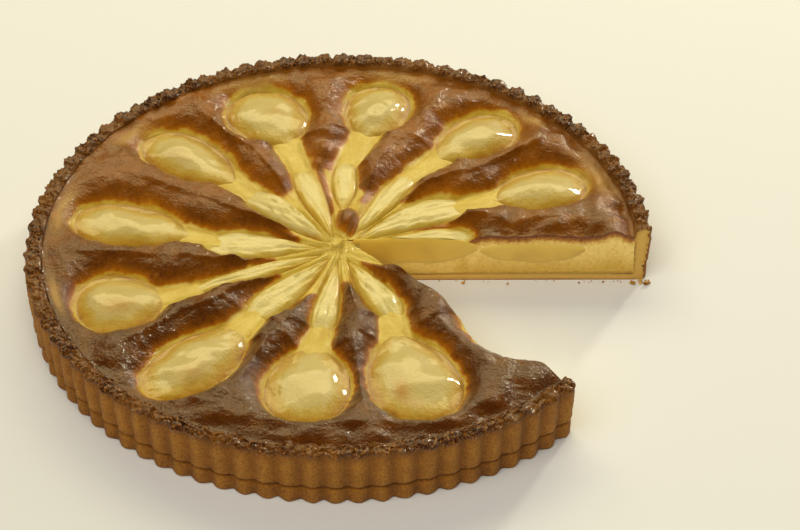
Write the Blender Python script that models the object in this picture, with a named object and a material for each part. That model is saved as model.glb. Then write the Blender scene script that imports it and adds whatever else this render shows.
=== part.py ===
"""Pear frangipane tart with one slice cut out and taken away.

A fluted pastry shell holds an almond filling. Pear halves are baked into it with
their round ends outwards, and narrow pear slices meet at the centre. Metres, +Z up,
origin at the centre of the underside. The slice is missing on the +X side.
"""

import math
from collections import namedtuple

import bmesh
import bpy

MM = 0.001

# Pastry shell
BASE_RADIUS = 0.1368
WALL_RADIUS = 0.1374
RIM_RADIUS = 0.1388
RIM_HEIGHT = 0.0292
RIM_SHOULDER_HEIGHT = 0.0255
RIM_INNER_HEIGHT = 0.0278
RIM_ROUNDING = 0.0013
CREASE_HEIGHT = 0.0085
CREASE_HALF_WIDTH = 0.0007
CREASE_DEPTH = 0.0011
SHELL_INNER_RADIUS = 0.1315
FLOOR_THICKNESS = 0.0035
FLUTES = 88
FLUTE_DEPTH = 0.0012
STEPS_PER_FLUTE = 4
RIM_LUMP = 0.0011

# Almond filling
GAP = 0.0003
FILLING_RADIUS = SHELL_INNER_RADIUS - GAP
FILLING_FLOOR = FLOOR_THICKNESS + GAP
MOAT_HEIGHT = 0.0220
CREST_HEIGHT = 0.0279
CENTRE_RISE = 0.0008
EDGE_HEIGHT = 0.0258
EDGE_BAND = 0.010
RIDGE_ROUNDING = 0.0032
RIDGE_FADE = 0.014
NECK_HALF_WIDTH = 0.0046
KNOB_PLACE = (0.0035, 0.0185)
KNOB_REACH = (0.0042, 0.0088)
KNOB_RISE = 0.0038
RING_RADII = (0.0, 0.009, 0.014, 0.019, 0.024, 0.030, 0.037, 0.045, 0.054, 0.063, 0.072,
              0.082, 0.091, 0.100, 0.108, 0.115, 0.121, 0.126, 0.129, FILLING_RADIUS)
COLUMN_SHARES = (0.0, 0.20, 0.34, 0.42, 0.50, 0.58, 0.66, 0.80)

# Pears
PEAR_FLOOR = 0.0090
PEAR_SIDE_HEIGHT = 0.0222
BURIED_PEAR_HEIGHT = 0.0203
SLICE_SIDE_HEIGHT = 0.0226
PEAR_SIDES = 16
PEAR_STATIONS = 10
SLICE_SIDES = 12
SLICE_STATIONS = 7
POCKET_POINTS = 20
OPEN_POCKET_TOP = 0.045

# The cut: two upright planes that meet just off the centre
CUT_APEX = (0.0025, 0.0056)
CUT_UPPER_ANGLE = math.radians(0.2)
CUT_LOWER_ANGLE = math.radians(-45.7)
CUT_REACH = 0.30

# Each pear piece runs from its inner tip to its outer end. Both are given as a
# distance from the tart's centre in mm and an angle in degrees. Then come the widest
# half width and the height of the crown in mm, where along it is widest, how blunt its
# tip is and how far its middle bows to the left of its axis in mm.
HALF_TAPER = 1.25
SLICE_TAPER = 1.05
BLUNT_TAPER = 1.5
Piece = namedtuple("Piece", "name tip_mm tip_deg end_mm end_deg half_mm top_mm widest"
                   " taper bow_mm", defaults=(HALF_TAPER, 0.0))

HALVES = (
    Piece("pear_half_1", 77, 107.5, 126.0, 111.5, 19.3, 26.6, 0.56),
    Piece("pear_half_2", 78, 83.0, 124.5, 80.5, 16.0, 26.4, 0.60),
    Piece("pear_half_3", 74, 57.0, 124.5, 50.5, 15.6, 26.8, 0.62),
    Piece("pear_half_4", 74, 27.0, 122.5, 24.0, 16.0, 26.6, 0.60),
    Piece("pear_half_5", 57, -67.0, 118.5, -70.0, 20.4, 26.8, 0.63),
    Piece("pear_half_6", 61, -99.0, 115.0, -97.2, 18.9, 26.5, 0.60),
    Piece("pear_half_7", 63, -127.5, 125.5, -129.5, 16.8, 26.9, 0.58),
    Piece("pear_half_8", 79, -156.0, 122.5, -161.0, 20.3, 27.0, 0.62),
    Piece("pear_half_9", 62, 172.0, 123.0, 169.5, 15.8, 26.5, 0.66),
    Piece("pear_half_10", 63, 135.5, 122.5, 137.8, 15.6, 26.8, 0.66),
)
SLICES = (
    Piece("pear_slice_1", 9, 112.0, 66, 108.5, 6.0, 23.8, 0.66, SLICE_TAPER),
    Piece("pear_slice_2", 28, 88.0, 68, 88.5, 5.8, 23.6, 0.55, BLUNT_TAPER),
    Piece("pear_slice_3", 9, 65.0, 66, 59.5, 5.8, 24.2, 0.62, SLICE_TAPER),
    Piece("pear_slice_4", 9, 38.0, 65, 30.0, 9.0, 24.4, 0.74, SLICE_TAPER, 2.8),
    Piece("pear_slice_5", 9, 12.0, 60, 10.0, 7.2, 24.0, 0.68, SLICE_TAPER),
    Piece("pear_slice_6", 9, -66.0, 54, -61.0, 7.4, 24.6, 0.70, SLICE_TAPER),
    Piece("pear_slice_7", 9, -98.0, 60, -97.5, 5.8, 24.5, 0.70, SLICE_TAPER),
    Piece("pear_slice_8", 9, -128.0, 61, -129.5, 8.4, 24.4, 0.70, SLICE_TAPER),
    Piece("pear_slice_9", 9, -156.5, 76, -156.5, 4.6, 24.0, 0.42, SLICE_TAPER),
    Piece("pear_slice_10", 9, 175.0, 60, 175.8, 9.2, 24.0, 0.75, SLICE_TAPER),
    Piece("pear_slice_11", 7, 138.0, 60, 136.0, 7.4, 25.4, 0.70, SLICE_TAPER),
)
# The pear half that the knife went through keeps a buried edge in the tart, and the
# one that left with the slice keeps only its hollow.
CUT_HALF = Piece("pear_half_cut", 52, 0.0, 112, -4.0, 16.0, 20.3, 0.60)
GONE_HALF = Piece("gone", 62, -36.0, 118, -32.5, 20.0, 26.6, 0.60)
CUT_HALF_SHOWN_MM = 8.0
# The filling stays low between a half's tip and the end of the slice before it.
NECKS = tuple(zip(HALVES, SLICES[:4] + SLICES[5:]))

# Each ridge of filling between two pears, as its angle in degrees and how near to the
# centre in mm it reaches.
RIDGES = ((15, 52), (43, 47), (74, 41), (99, 60), (122, 47), (154, 26), (189, 37),
          (213, 38), (245, 38), (272, 24), (316, 12), (340, 46))
# The middles of the sectors that the filling's columns are shared out between
SECTOR_MIDDLES = (-6, 24, 52, 81, 110, 137, 170, 199, 231, 262, 291, 325)

PASTRY_COLOUR = (0.33, 0.15, 0.045, 1)
FILLING_COLOUR = (0.16, 0.055, 0.018, 1)
PEAR_COLOUR = (0.66, 0.50, 0.16, 1)


def polar(distance, angle):
    return distance * math.cos(angle), distance * math.sin(angle)


def smooth_step(low, high, value):
    share = min(max((value - low) / (high - low), 0.0), 1.0)
    return share * share * (3 - 2 * share)


def piece_tip(piece):
    return polar(piece.tip_mm * MM, math.radians(piece.tip_deg))


def piece_end(piece):
    return polar(piece.end_mm * MM, math.radians(piece.end_deg))


def piece_axis(piece):
    """The inner tip, the unit direction outwards and the length of a pear piece."""
    tip, end = piece_tip(piece), piece_end(piece)
    length = math.dist(tip, end)
    return tip, ((end[0] - tip[0]) / length, (end[1] - tip[1]) / length), length


def half_width(piece, share):
    """The half width at a share of the length: tapered to the tip, an ellipse at the end."""
    if not 0 < share < 1:
        return 0.0
    if share > piece.widest:
        t = (share - piece.widest) / (1 - piece.widest)
        return piece.half_mm * MM * math.sqrt(1 - t * t)
    t = (piece.widest - share) / piece.widest
    return piece.half_mm * MM * math.cos(math.pi / 2 * t ** piece.taper)


def bow(piece, share):
    return 4 * piece.bow_mm * MM * share * (1 - share)


def outline_gap(piece, x, y):
    """About how far a point lies outside a pear piece's outline, negative inside it."""
    tip, direction, length = piece_axis(piece)
    along = (x - tip[0]) * direction[0] + (y - tip[1]) * direction[1]
    across = (y - tip[1]) * direction[0] - (x - tip[0]) * direction[1]
    if along < 0:
        return math.hypot(along, across)
    if along > length:
        return math.hypot(along - length, across)
    return abs(across - bow(piece, along / length)) - half_width(piece, along / length)


def neck_gap(half, inner, x, y):
    """How far a point lies outside the low neck that joins a slice to its half."""
    tip, end = piece_tip(half), piece_end(inner)
    run_x, run_y = end[0] - tip[0], end[1] - tip[1]
    share = ((x - tip[0]) * run_x + (y - tip[1]) * run_y) / (run_x ** 2 + run_y ** 2)
    share = min(max(share, 0.0), 1.0)
    return math.hypot(x - tip[0] - share * run_x, y - tip[1] - share * run_y) - NECK_HALF_WIDTH


def knob(x, y):
    """The one low knob of filling that browned near the middle."""
    away = math.hypot((x - KNOB_PLACE[0]) / KNOB_REACH[0], (y - KNOB_PLACE[1]) / KNOB_REACH[1])
    return KNOB_RISE * math.exp(-(away ** 3))


def ridge_reach(angle):
    """How near to the centre the ridges come at an angle, read between the ridges."""
    degrees = math.degrees(angle) % 360
    rows = [(RIDGES[-1][0] - 360, RIDGES[-1][1]), *RIDGES, (RIDGES[0][0] + 360, RIDGES[0][1])]
    for (a, reach_a), (b, reach_b) in zip(rows, rows[1:]):
        if a <= degrees <= b:
            share = (degrees - a) / (b - a)
            return (reach_a + (reach_b - reach_a) * share) * MM
    return rows[0][1] * MM


def filling_height(distance, angle):
    """The baked filling's top: low round each pear, swollen into ridges between them."""
    x, y = polar(distance, angle)
    shown = [*HALVES, *SLICES, GONE_HALF, CUT_HALF._replace(half_mm=CUT_HALF_SHOWN_MM)]
    gap = min(outline_gap(piece, x, y) for piece in shown)
    gap = max(min(gap, *(neck_gap(half, inner, x, y) for half, inner in NECKS)), 0.0)
    rise = 1 - math.exp(-((gap / RIDGE_ROUNDING) ** 1.5))
    reach = ridge_reach(angle)
    swelling = smooth_step(reach - RIDGE_FADE / 2, reach + RIDGE_FADE, distance)
    crest = CREST_HEIGHT + 0.0006 * math.sin(distance * 190 + angle * 5)
    height = MOAT_HEIGHT + rise * (CENTRE_RISE + (crest - MOAT_HEIGHT) * swelling) + knob(x, y)
    edge = smooth_step(SHELL_INNER_RADIUS - EDGE_BAND, SHELL_INNER_RADIUS, distance)
    return height + (EDGE_HEIGHT - height) * edge * 0.9


def new_object(name, mesh_data, collection):
    bmesh.ops.recalc_face_normals(mesh_data, faces=mesh_data.faces)
    if mesh_data.calc_volume(signed=True) < 0:
        bmesh.ops.reverse_faces(mesh_data, faces=mesh_data.faces)
    mesh = bpy.data.meshes.new(name)
    mesh_data.to_mesh(mesh)
    mesh_data.free()
    made = bpy.data.objects.new(name, mesh)
    collection.objects.link(made)
    return made


def turned_body(name, profile, steps, place, collection):
    """Spins a (radius, height) profile once round Z, then lets place() move each point."""
    made = bmesh.new()
    points = [made.verts.new((radius, 0, height)) for radius, height in profile]
    edges = [made.edges.new(pair) for pair in zip(points, points[1:])]
    bmesh.ops.spin(made, geom=points + edges, axis=(0, 0, 1), cent=(0, 0, 0),
                   angle=2 * math.pi, steps=steps)
    bmesh.ops.remove_doubles(made, verts=made.verts, dist=1e-6)
    for vertex in made.verts:
        distance = math.hypot(vertex.co.x, vertex.co.y)
        angle = math.atan2(vertex.co.y, vertex.co.x) % (2 * math.pi)
        distance, angle, height = place(distance, angle, vertex.co.z)
        vertex.co = (*polar(distance, angle), height)
    return new_object(name, made, collection)


def prism(name, outline, bottom, top, collection):
    """An upright prism over an outline of (x, y) points."""
    made = bmesh.new()
    face = made.faces.new([made.verts.new((x, y, bottom)) for x, y in outline])
    grown = bmesh.ops.extrude_face_region(made, geom=[face])
    risen = [part for part in grown["geom"] if isinstance(part, bmesh.types.BMVert)]
    bmesh.ops.translate(made, verts=risen, vec=(0, 0, top - bottom))
    return new_object(name, made, collection)


def pastry_point(distance, angle, height):
    """Flutes on the outside of the shell, and lumps where the rim was trimmed and browned."""
    if distance > SHELL_INNER_RADIUS + 0.003:
        distance += FLUTE_DEPTH * math.cos(FLUTES * angle)
    if height > RIM_INNER_HEIGHT - 0.0001:
        wave = 0.55 * math.cos(FLUTES * angle) + 0.3 * math.sin(FLUTES / 2 * angle + 1)
        height += RIM_LUMP * (wave + 0.35 * math.sin(13 * angle) + 0.3 * math.sin(29 * angle))
    return distance, angle, height


def make_crust(collection):
    """The shell: a thin floor and a fluted wall with a pressed crease low down."""
    profile = [
        (0, 0),
        (BASE_RADIUS, 0),
        (BASE_RADIUS, CREASE_HEIGHT - CREASE_HALF_WIDTH),
        (BASE_RADIUS - CREASE_DEPTH, CREASE_HEIGHT),
        (WALL_RADIUS, CREASE_HEIGHT + CREASE_HALF_WIDTH),
        (RIM_RADIUS, RIM_SHOULDER_HEIGHT),
        (RIM_RADIUS - RIM_ROUNDING, RIM_HEIGHT),
        (SHELL_INNER_RADIUS + RIM_ROUNDING, RIM_INNER_HEIGHT),
        (SHELL_INNER_RADIUS, FLOOR_THICKNESS),
        (0, FLOOR_THICKNESS),
    ]
    return turned_body("crust", profile, FLUTES * STEPS_PER_FLUTE, pastry_point, collection)


def column_angle(angle):
    """Moves evenly spaced columns so that most of them fall on the ridges."""
    per_sector = len(COLUMN_SHARES)
    column = round(angle / (2 * math.pi) * per_sector * len(SECTOR_MIDDLES))
    sector, place = divmod(column, per_sector)
    middles = [*SECTOR_MIDDLES, SECTOR_MIDDLES[0] + 360]
    start = middles[sector % len(SECTOR_MIDDLES)]
    following = middles[sector % len(SECTOR_MIDDLES) + 1]
    return math.radians(start + (following - start) * COLUMN_SHARES[place])


def filling_point(distance, angle, height):
    angle = column_angle(angle)
    if height > FILLING_FLOOR + GAP:
        height = filling_height(distance, angle)
    return distance, angle, height


def make_filling(collection):
    """The almond filling as one body, from the shell's floor up to its browned skin."""
    top = [(radius, MOAT_HEIGHT) for radius in RING_RADII]
    profile = [*top, (FILLING_RADIUS, FILLING_FLOOR), (0, FILLING_FLOOR)]
    steps = len(COLUMN_SHARES) * len(SECTOR_MIDDLES)
    return turned_body("frangipane", profile, steps, filling_point, collection)


def make_pear(piece, sides, stations, side_height, collection):
    """Half a ball stretched along the piece: flat below, steep sides, a gentle crown."""
    tip, direction, length = piece_axis(piece)
    made = bmesh.new()
    bmesh.ops.create_uvsphere(made, u_segments=sides, v_segments=stations, radius=1)
    above = [v for v in made.verts if v.co.x < -1e-6]
    bmesh.ops.delete(made, geom=above, context="VERTS")
    rim = [edge for edge in made.edges if edge.is_boundary]
    bmesh.ops.edgeloop_fill(made, edges=rim)
    for vertex in made.verts:
        # The ball's pole axis becomes the piece's length, and +X of the ball is up.
        up, side, pole = vertex.co
        share = (1 + pole) / 2
        ring = math.sqrt(max(1 - pole * pole, 0.0))
        width = half_width(piece, share)
        across = side / ring if ring > 1e-4 else 0.0
        crown = (piece.top_mm * MM - side_height) * (width / (piece.half_mm * MM)) ** 1.5
        height = PEAR_FLOOR
        if up > 1e-6 and ring > 1e-4:
            steep = math.sqrt(max(1 - abs(across) ** 8, 0.0))
            height += (side_height - PEAR_FLOOR) * steep
            height += crown * max(1 - across * across, 0.0) ** 0.8
        aside = across * width + bow(piece, share)
        x = tip[0] + direction[0] * share * length - direction[1] * aside
        y = tip[1] + direction[1] * share * length + direction[0] * aside
        vertex.co = (x, y, height)
    return new_object(piece.name, made, collection)


def make_pocket(piece, top, collection):
    """The hollow that a pear piece lies in, GAP wider than it all round."""
    grown = piece._replace(half_mm=piece.half_mm + GAP / MM)
    tip, direction, length = piece_axis(piece)
    outline = []
    for step in range(POCKET_POINTS):
        turn = 2 * math.pi * step / POCKET_POINTS
        share = (1 - math.cos(turn)) / 2
        along = share * (length + 2 * GAP) - GAP
        across = math.copysign(half_width(grown, share), math.sin(turn)) + bow(piece, share)
        outline.append((tip[0] + direction[0] * along - direction[1] * across,
                        tip[1] + direction[1] * along + direction[0] * across))
    return prism("pocket_" + piece.name, outline, PEAR_FLOOR - GAP, top, collection)


def make_slice_cutter(collection):
    """The wedge that the knife took away."""
    far_upper = polar(CUT_REACH, CUT_UPPER_ANGLE)
    far_lower = polar(CUT_REACH, CUT_LOWER_ANGLE)
    outline = [CUT_APEX]
    outline += [(CUT_APEX[0] + x, CUT_APEX[1] + y) for x, y in (far_lower, far_upper)]
    return prism("slice_cutter", outline, -0.01, 0.06, collection)


def take_away(target, cutter):
    cut = target.modifiers.new(cutter.name, "BOOLEAN")
    cut.operation = "DIFFERENCE"
    cut.solver = "EXACT"
    cut.object = cutter


def material(name, colour, roughness):
    made = bpy.data.materials.new(name)
    made.use_nodes = True
    shader = made.node_tree.nodes["Principled BSDF"]
    shader.inputs["Base Color"].default_value = colour
    shader.inputs["Roughness"].default_value = roughness
    return made


def main():
    for old in list(bpy.data.objects):
        bpy.data.objects.remove(old)
    scene = bpy.context.scene
    tart, pockets, cutters = (bpy.data.collections.new(name)
                              for name in ("pear_frangipane_tart", "pockets", "cutters"))
    for collection in (tart, pockets, cutters):
        scene.collection.children.link(collection)

    crust = make_crust(tart)
    filling = make_filling(tart)
    halves = [make_pear(piece, PEAR_SIDES, PEAR_STATIONS, PEAR_SIDE_HEIGHT, tart)
              for piece in HALVES]
    slices = [make_pear(piece, SLICE_SIDES, SLICE_STATIONS, SLICE_SIDE_HEIGHT, tart)
              for piece in SLICES]
    buried = make_pear(CUT_HALF, PEAR_SIDES, PEAR_STATIONS, BURIED_PEAR_HEIGHT - 0.001, tart)

    for piece in (*HALVES, *SLICES, GONE_HALF):
        make_pocket(piece, OPEN_POCKET_TOP, pockets)
    make_pocket(CUT_HALF, BURIED_PEAR_HEIGHT + GAP, pockets)
    slice_cutter = make_slice_cutter(cutters)
    for helper in (*pockets.objects, slice_cutter):
        helper.hide_render = True
        helper.display_type = "WIRE"

    for cut_piece in (crust, filling, buried, slices[4]):
        take_away(cut_piece, slice_cutter)
    for pocket in pockets.objects:
        take_away(filling, pocket)

    pastry = material("baked_shortcrust", PASTRY_COLOUR, 0.6)
    skin = material("browned_almond_filling", FILLING_COLOUR, 0.25)
    fruit = material("glazed_pear", PEAR_COLOUR, 0.2)
    for made, finish in ((crust, pastry), (filling, skin), (buried, fruit),
                         *((pear, fruit) for pear in halves + slices)):
        made.data.materials.append(finish)
        made.data.shade_smooth()
        made.data.set_sharp_from_angle(angle=math.radians(35))


main()
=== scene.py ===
"""Looks for the pear frangipane tart: every visible surface, the floor, lights and camera."""

import math
from collections import namedtuple

import bmesh
import bpy
import numpy as np
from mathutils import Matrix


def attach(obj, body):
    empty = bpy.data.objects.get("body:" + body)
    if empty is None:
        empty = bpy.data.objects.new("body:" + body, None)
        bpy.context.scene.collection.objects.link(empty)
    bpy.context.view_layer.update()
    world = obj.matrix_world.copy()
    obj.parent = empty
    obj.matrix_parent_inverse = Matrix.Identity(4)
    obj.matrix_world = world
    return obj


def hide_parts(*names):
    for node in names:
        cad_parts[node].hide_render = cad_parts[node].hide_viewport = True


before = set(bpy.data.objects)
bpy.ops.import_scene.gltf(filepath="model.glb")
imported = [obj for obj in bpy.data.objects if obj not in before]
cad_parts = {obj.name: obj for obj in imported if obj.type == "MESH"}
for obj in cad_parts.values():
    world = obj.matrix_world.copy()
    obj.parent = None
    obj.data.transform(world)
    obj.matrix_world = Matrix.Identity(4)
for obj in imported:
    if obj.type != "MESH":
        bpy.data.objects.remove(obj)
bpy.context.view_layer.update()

# The pastry shell. Sweet shortcrust was pressed into a fluted ring tin 28 cm across, so its
# outside carries the flutes and a crease where the ring's foot ended. Its trimmed edge
# stands up as lumps that scorched, and two knife cuts took a slice out.

# Sizes are in millimetres and turned to metres when a mesh is made. Angles are seen from
# above, from +X. The two cuts meet just off the centre, at the cut point. Arcs inside
# CENTRED_FROM are centred nearer to that point, and those outside it on the tart.
MM = 0.001
CUT_POINT = np.array([2.5, 5.6])
CUT_TURNS = np.radians([0.2, -45.7])
CENTRED_FROM = 40.0
FLUTES = 88
FLUTE_DEPTH = 1.1
SHELL_INSIDE = 131.5
FLOOR_TOP = 3.5
CREASE_HEIGHT = 8.35
CREASE_HALF_WIDTH = 0.55
RIM_LIMIT = 139.9
RIM_HIGHEST = 30.6
LUMP_RING = 135
CRUST_COLUMNS = 931


def step_between(low, high, value):
    """A smooth step: 0 below low, 1 above high, and 3t² - 2t³ between them."""
    t = np.clip((value - low) / (high - low), 0, 1)
    return t * t * (3 - 2 * t)


def uneven(x, y, size, seed, waves=11):
    """Seeded unevenness of about -1 to 1: the sum of sine waves in random directions.

    Each wave's length is size times 0.7 to 1.4, and the sum is divided by the root of
    their number, which keeps its spread the same.
    """
    chance = np.random.default_rng(seed)
    total = np.zeros(np.broadcast(x, y).shape)
    for turn, length, start in zip(chance.uniform(0, np.pi, waves),
                                   size * chance.uniform(0.7, 1.4, waves),
                                   chance.uniform(0, 2 * np.pi, waves)):
        along = x * np.cos(turn) + y * np.sin(turn)
        total += np.sin(2 * np.pi * along / length + start)
    return total / np.sqrt(waves)


def cut_tart_plan(radii, columns):
    """x and y of arcs round the tart that run from the upper cut round to the lower one.

    An arc of radius r is centred between the cut's point and the tart's centre: a share
    of step_between(0, CENTRED_FROM, r) of the way. It meets a cut where the line through
    the cut's point in the direction u is r from that centre: at the root t of
    |point + t u - centre| = r. The columns share the turn between the two ends evenly.
    """
    radii = np.asarray(radii, float)[:, None]
    centre = CUT_POINT * (1 - step_between(0, CENTRED_FROM, radii))
    offset = CUT_POINT - centre
    ends = []
    for turn in CUT_TURNS:
        u = np.array([np.cos(turn), np.sin(turn)])
        lean = offset @ u
        reach = -lean + np.sqrt(np.maximum(lean ** 2 - (offset ** 2).sum(1) + radii[:, 0] ** 2, 0))
        hit = offset + reach[:, None] * u
        ends.append(np.where(radii[:, 0] > 1e-6, np.arctan2(hit[:, 1], hit[:, 0]), turn))
    start = ends[0][:, None]
    sweep = 2 * np.pi + ends[1][:, None] - start
    turns = start + sweep * np.linspace(0, 1, columns)
    return centre[:, :1] + radii * np.cos(turns), centre[:, 1:] + radii * np.sin(turns)


floor_radii = np.array([0, 2, 6, 15, 40, 70, 100, 124, 131, 135.6])
low_wall = np.array([0.5, 1.6, 3.2, 4.8, 6.2, 7.2, 7.8, 8.2, 8.5, 8.9, 9.4])
low_wall_radii = np.array([136.6, 136.8, 136.8, 136.8, 136.8, 136.7, 136.3, 135.7, 135.6,
                           136.4, 137.1])
high_wall = np.linspace(10.2, 26.4, 13)
outer_profile = np.vstack([
    np.column_stack([floor_radii, np.zeros(10)]),
    np.column_stack([low_wall_radii, low_wall]),
    np.column_stack([137.3 + 0.8 * step_between(9, 22, high_wall), high_wall]),
    np.column_stack([[138.2, 138.1, 137.8, 137.3, 136.7, 136.0, 135.3],
                     [27.2, 27.8, 28.2, 28.4, 28.5, 28.5, 28.5]]),
])
inside_rise = np.concatenate([np.linspace(4.3, 20, 11), np.linspace(21, 27.2, 13)])
inner_profile = np.vstack([
    np.column_stack([floor_radii * 130.6 / 135.6, np.full(10, FLOOR_TOP)]),
    np.column_stack([SHELL_INSIDE + 0.5 * step_between(25.5, 27.5, inside_rise), inside_rise]),
    np.column_stack([[132.2, 132.6, 133.1, 133.6, 134.2, 134.7],
                     [27.6, 28.0, 28.3, 28.4, 28.5, 28.5]]),
    outer_profile[-1:],
])
crust_profile = np.vstack([outer_profile, inner_profile[-2::-1]])
crust_x, crust_y = cut_tart_plan(crust_profile[:, 0], CRUST_COLUMNS)
crust_r = np.hypot(crust_x, crust_y)
crust_turn = np.arctan2(crust_y, crust_x)
crust_z = np.repeat(crust_profile[:, 1:], CRUST_COLUMNS, axis=1)
ring_x, ring_y = LUMP_RING * np.cos(crust_turn), LUMP_RING * np.sin(crust_turn)

# Flutes: scallops |cos| with softened valleys, on the outside only.
scallop = (np.sqrt(np.cos(FLUTES / 2 * crust_turn) ** 2 + 0.05) - 0.22) / 0.80 * 2 - 1
outside = np.zeros(len(crust_profile))
outside[9:len(outer_profile)] = 1
outside[len(outer_profile) - 6:] = [0.9, 0.7, 0.45, 0.25, 0.1, 0, *outside[len(outer_profile):]]
outside = outside[:, None]
# Rim lumps: one for every flute, of uneven height, with crags on them.
rim_share = (step_between(25.8, 28.3, crust_z)
             * np.where(crust_r > 134, 1, step_between(26.2, 28.0, crust_z)))
lump = np.abs(np.cos(FLUTES / 2 * crust_turn + 0.8 * uneven(ring_x, ring_y, 24, 3))) ** 0.5
lump = lump * (0.75 + 0.45 * uneven(ring_x, ring_y, 9, 4))
crag = (0.42 * uneven(crust_x, crust_y + 2 * crust_z, 3.2, 5)
        + 0.42 * uneven(crust_x + crust_z, crust_y, 1.6, 6))
push = (FLUTE_DEPTH * scallop * outside
        + outside * 0.12 * uneven(ring_x, ring_y + 1.5 * crust_z, 4.0, 7)
        + rim_share * outside * (0.6 * lump + 0.7 * crag))
push += ((1 - outside) * rim_share
         * (-1.0 * lump + 0.6 * crag + 0.6 * uneven(ring_x, ring_y, 9, 8)))
lift = rim_share * (1.3 * lump + 0.9 * crag - 0.5)
lift += np.where((crust_z > 7) & (crust_z < 9.6), 0.45 * scallop, 0) * outside
stretch = np.minimum(crust_r + push, RIM_LIMIT) / np.maximum(crust_r, 1)
crust_points = np.stack([crust_x * stretch, crust_y * stretch,
                         np.clip(crust_z + lift, 0, RIM_HIGHEST)], axis=-1)
crust_rows = len(crust_profile)


def grid_faces(first, rows, columns, closed=False):
    """Quads over a grid of points that are numbered row by row from first.

    closed joins the last column to the first. Seen from where rows run away and columns
    run to the left, the quads turn anticlockwise.
    """
    across = np.arange(columns if closed else columns - 1)
    row = np.arange(rows - 1)[:, None] * columns + first
    beside = (across + 1) % columns
    return np.stack([row + across, row + columns + across,
                     row + columns + beside, row + beside], axis=-1).reshape(-1, 4)


def section_cap(points, column, first, layers, bulge):
    """The cut face between the outer and the inner half of a closed profile.

    points[i] and points[-1 - i] of one column face each other, and layers points are
    spread on the line between each such pair. bulge(x, z) moves the ones in between
    square to the cut, inwards only.
    """
    half = (len(points) + 1) // 2
    outer = points[:half, column]
    inner = points[::-1, column][:half]
    share = np.linspace(0, 1, layers)[:, None, None]
    spread = outer + (inner - outer) * share
    turn = CUT_TURNS[0 if column == 0 else 1]
    inwards = np.array([-np.sin(turn), np.cos(turn), 0]) * (1 if column == 0 else -1)
    along = spread[..., 0] * np.cos(turn) + spread[..., 1] * np.sin(turn)
    depth = np.abs(bulge(along, spread[..., 2]))
    depth[0] = depth[-1] = 0
    depth[:, 0] = depth[:, -1] = 0
    spread = spread + depth[..., None] * inwards
    return spread.reshape(-1, 3), grid_faces(first, layers, half)


CRUST_LAYERS = 9


def pastry_crumb(along, height):
    """Crumbly relief of a broken cut: two sizes of unevenness, 0.25 and 0.15 mm deep."""
    return 0.25 * uneven(along, height, 2.2, 21) + 0.15 * uneven(along, height, 1.1, 22)


crust_body = grid_faces(0, crust_rows, CRUST_COLUMNS)
crust_mesh_points = [crust_points.reshape(-1, 3)]
crust_faces = [crust_body]
crust_cut = [np.zeros(len(crust_body))]
point_total = crust_rows * CRUST_COLUMNS
for column in (0, -1):
    cap, quads = section_cap(crust_points, column, point_total, CRUST_LAYERS, pastry_crumb)
    crust_mesh_points.append(cap)
    crust_faces.append(quads)
    crust_cut.append(np.ones(len(quads)))
    point_total += len(cap)
cap_size = CRUST_LAYERS * ((crust_rows + 1) // 2)
scorch = np.clip(rim_share * (0.66 + 0.25 * lump + 0.3 * uneven(ring_x, ring_y, 30, 9)), 0, 1)
# The crease is painted darker as well: painted shade in its groove.
shaded_crease = np.exp(-((crust_z - CREASE_HEIGHT) / CREASE_HALF_WIDTH) ** 2) * outside
inside_wall = (1 - outside) * (crust_z > FLOOR_TOP + 0.1) * (1 - rim_share)
cap_edge = np.abs(np.linspace(-1, 1, CRUST_LAYERS))[:, None] * np.ones((crust_rows + 1) // 2)
zeros = np.zeros(2 * cap_size)


def with_caps(body, caps=zeros):
    """A value for each point of the shell, and then for each point of its two cut faces."""
    return np.concatenate([body.ravel(), caps])


def paint(hex_colour):
    """The linear colour of an sRGB hex value: v/12.92 below 0.04045, else a 2.4 power."""
    channels = [int(hex_colour[i:i + 2], 16) / 255 for i in (1, 3, 5)]
    return (*(c / 12.92 if c <= 0.04045 else ((c + 0.055) / 1.055) ** 2.4 for c in channels), 1)


def add_node(tree, kind, inputs=None, stops=None, **settings):
    """Adds a node, sets its properties, and fills a ramp with its stops.

    Each input is given either a value or another node's output, which is linked to it.
    """
    made = tree.nodes.new(kind)
    for name, value in settings.items():
        setattr(made, name, value)
    for key, value in (inputs or {}).items():
        if isinstance(value, bpy.types.NodeSocket):
            tree.links.new(value, made.inputs[key])
        else:
            made.inputs[key].default_value = value
    if stops:
        ramp = made.color_ramp
        for _ in stops[2:]:
            ramp.elements.new(0.5)
        for element, (place, colour) in zip(ramp.elements, stops):
            element.position = place
            element.color = paint(colour)
    return made


def marked(tree, name):
    """The float that the mesh's points carry under a name."""
    return add_node(tree, "ShaderNodeAttribute", attribute_name=name).outputs["Fac"]


def noise(tree, place, scale, detail, roughness=0.5):
    """Cloudy noise, about 0.3 to 0.7, whose patches are 1 / scale metres wide."""
    sizes = {"Vector": place, "Scale": scale, "Detail": detail, "Roughness": roughness}
    return add_node(tree, "ShaderNodeTexNoise", sizes).outputs[0]


def maths(tree, operation, *terms, clamp=False):
    """A sum on two or three terms, each a number or another node's output."""
    return add_node(tree, "ShaderNodeMath", dict(enumerate(terms)), operation=operation,
                    use_clamp=clamp).outputs[0]


def colours(tree, share, stops):
    """A colour that runs through the stops as the share goes from 0 to 1."""
    return add_node(tree, "ShaderNodeValToRGB", {0: share}, stops).outputs[0]


def mixed(tree, share, first, second, blend="MIX"):
    """The first colour, with the second blended in by a share."""
    return add_node(tree, "ShaderNodeMix", {0: share, 6: first, 7: second}, data_type="RGBA",
                    blend_type=blend).outputs[2]


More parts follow.
